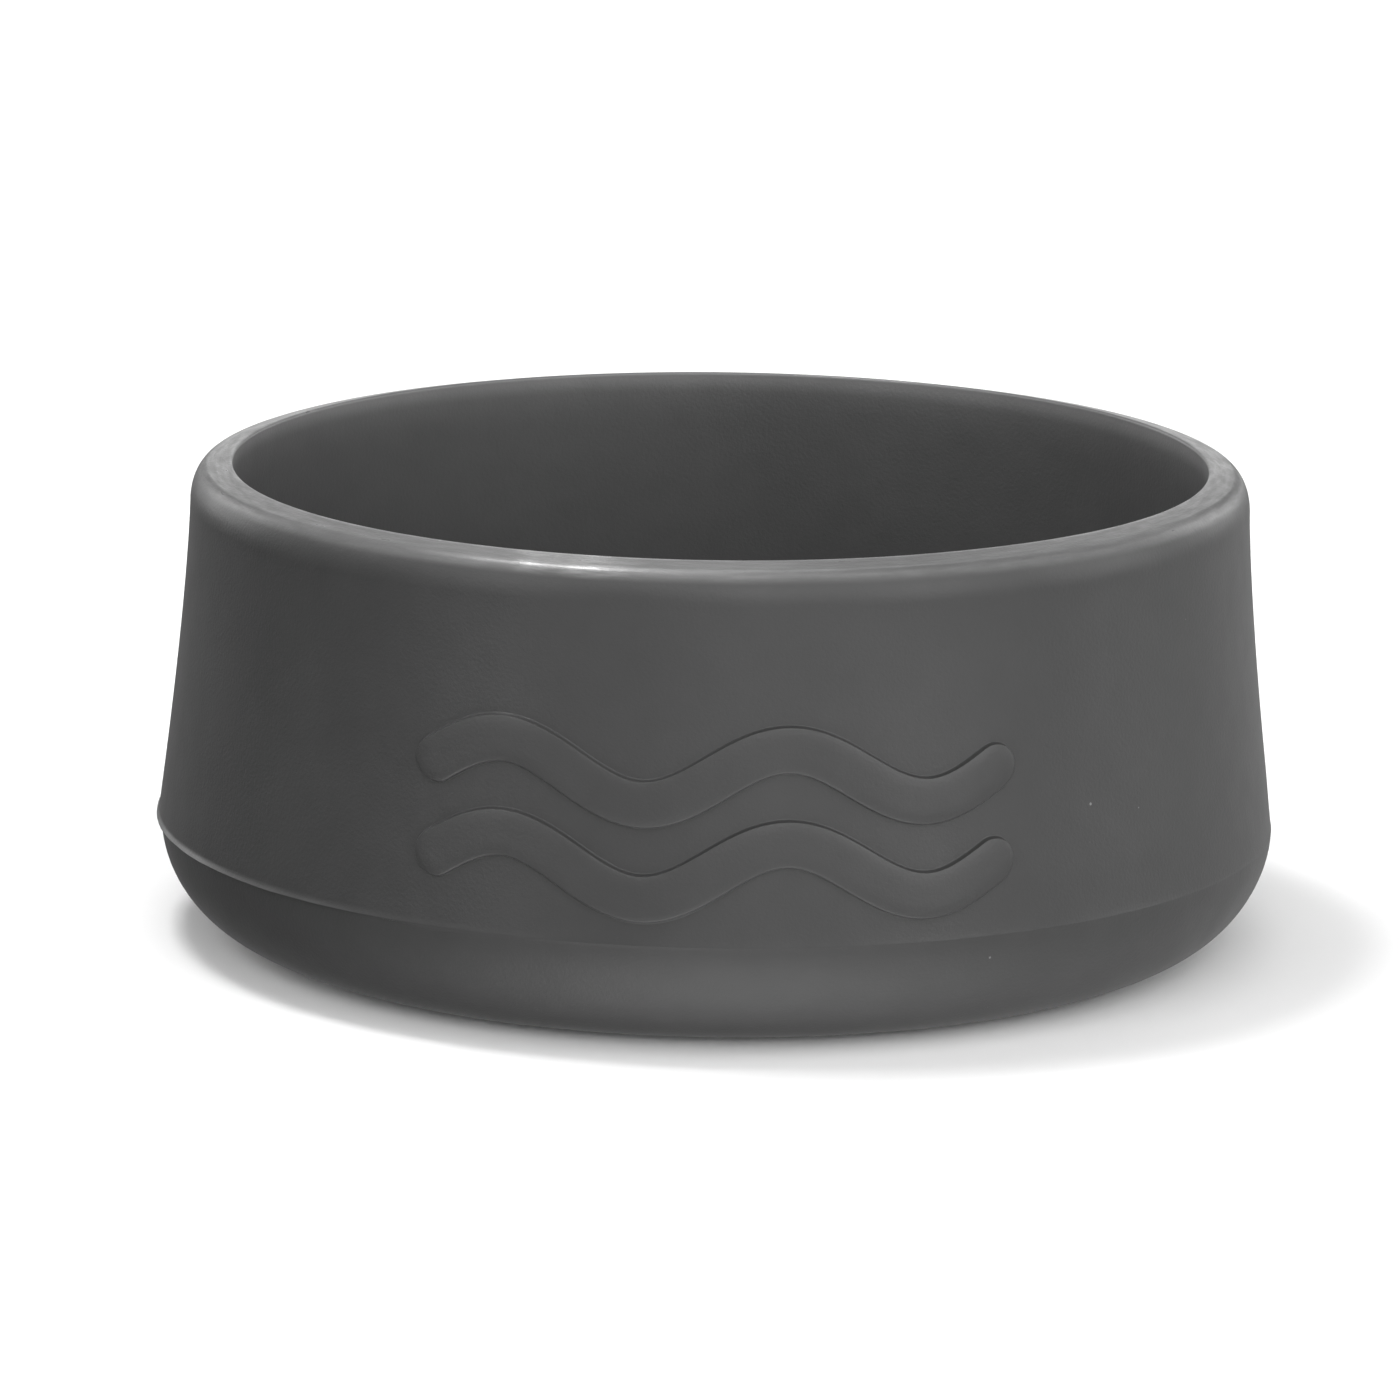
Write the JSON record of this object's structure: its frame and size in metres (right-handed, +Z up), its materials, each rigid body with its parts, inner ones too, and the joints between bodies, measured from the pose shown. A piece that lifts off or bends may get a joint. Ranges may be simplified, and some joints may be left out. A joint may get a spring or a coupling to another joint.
{
  "type": "silicone bottle boot",
  "caption": "Round open-topped silicone boot that pushes onto the base of a drinking bottle to cushion it, with a sloped rim, flared wall and raised wave motif.",
  "frame": {"origin": "centre of the foot, on the plane that the boot stands on", "axes": "+Z up through the open mouth, -Y towards the raised waves, +X to the right seen from that side"},
  "size_m": [0.0752, 0.0752, 0.0318],
  "materials": {
    "silicone": "matte dark grey moulded silicone"
  },
  "bodies": {
    "root": {"boot_shell": "silicone", "wave_relief_upper": "silicone", "wave_relief_lower": "silicone"}
  },
  "joints": []
}
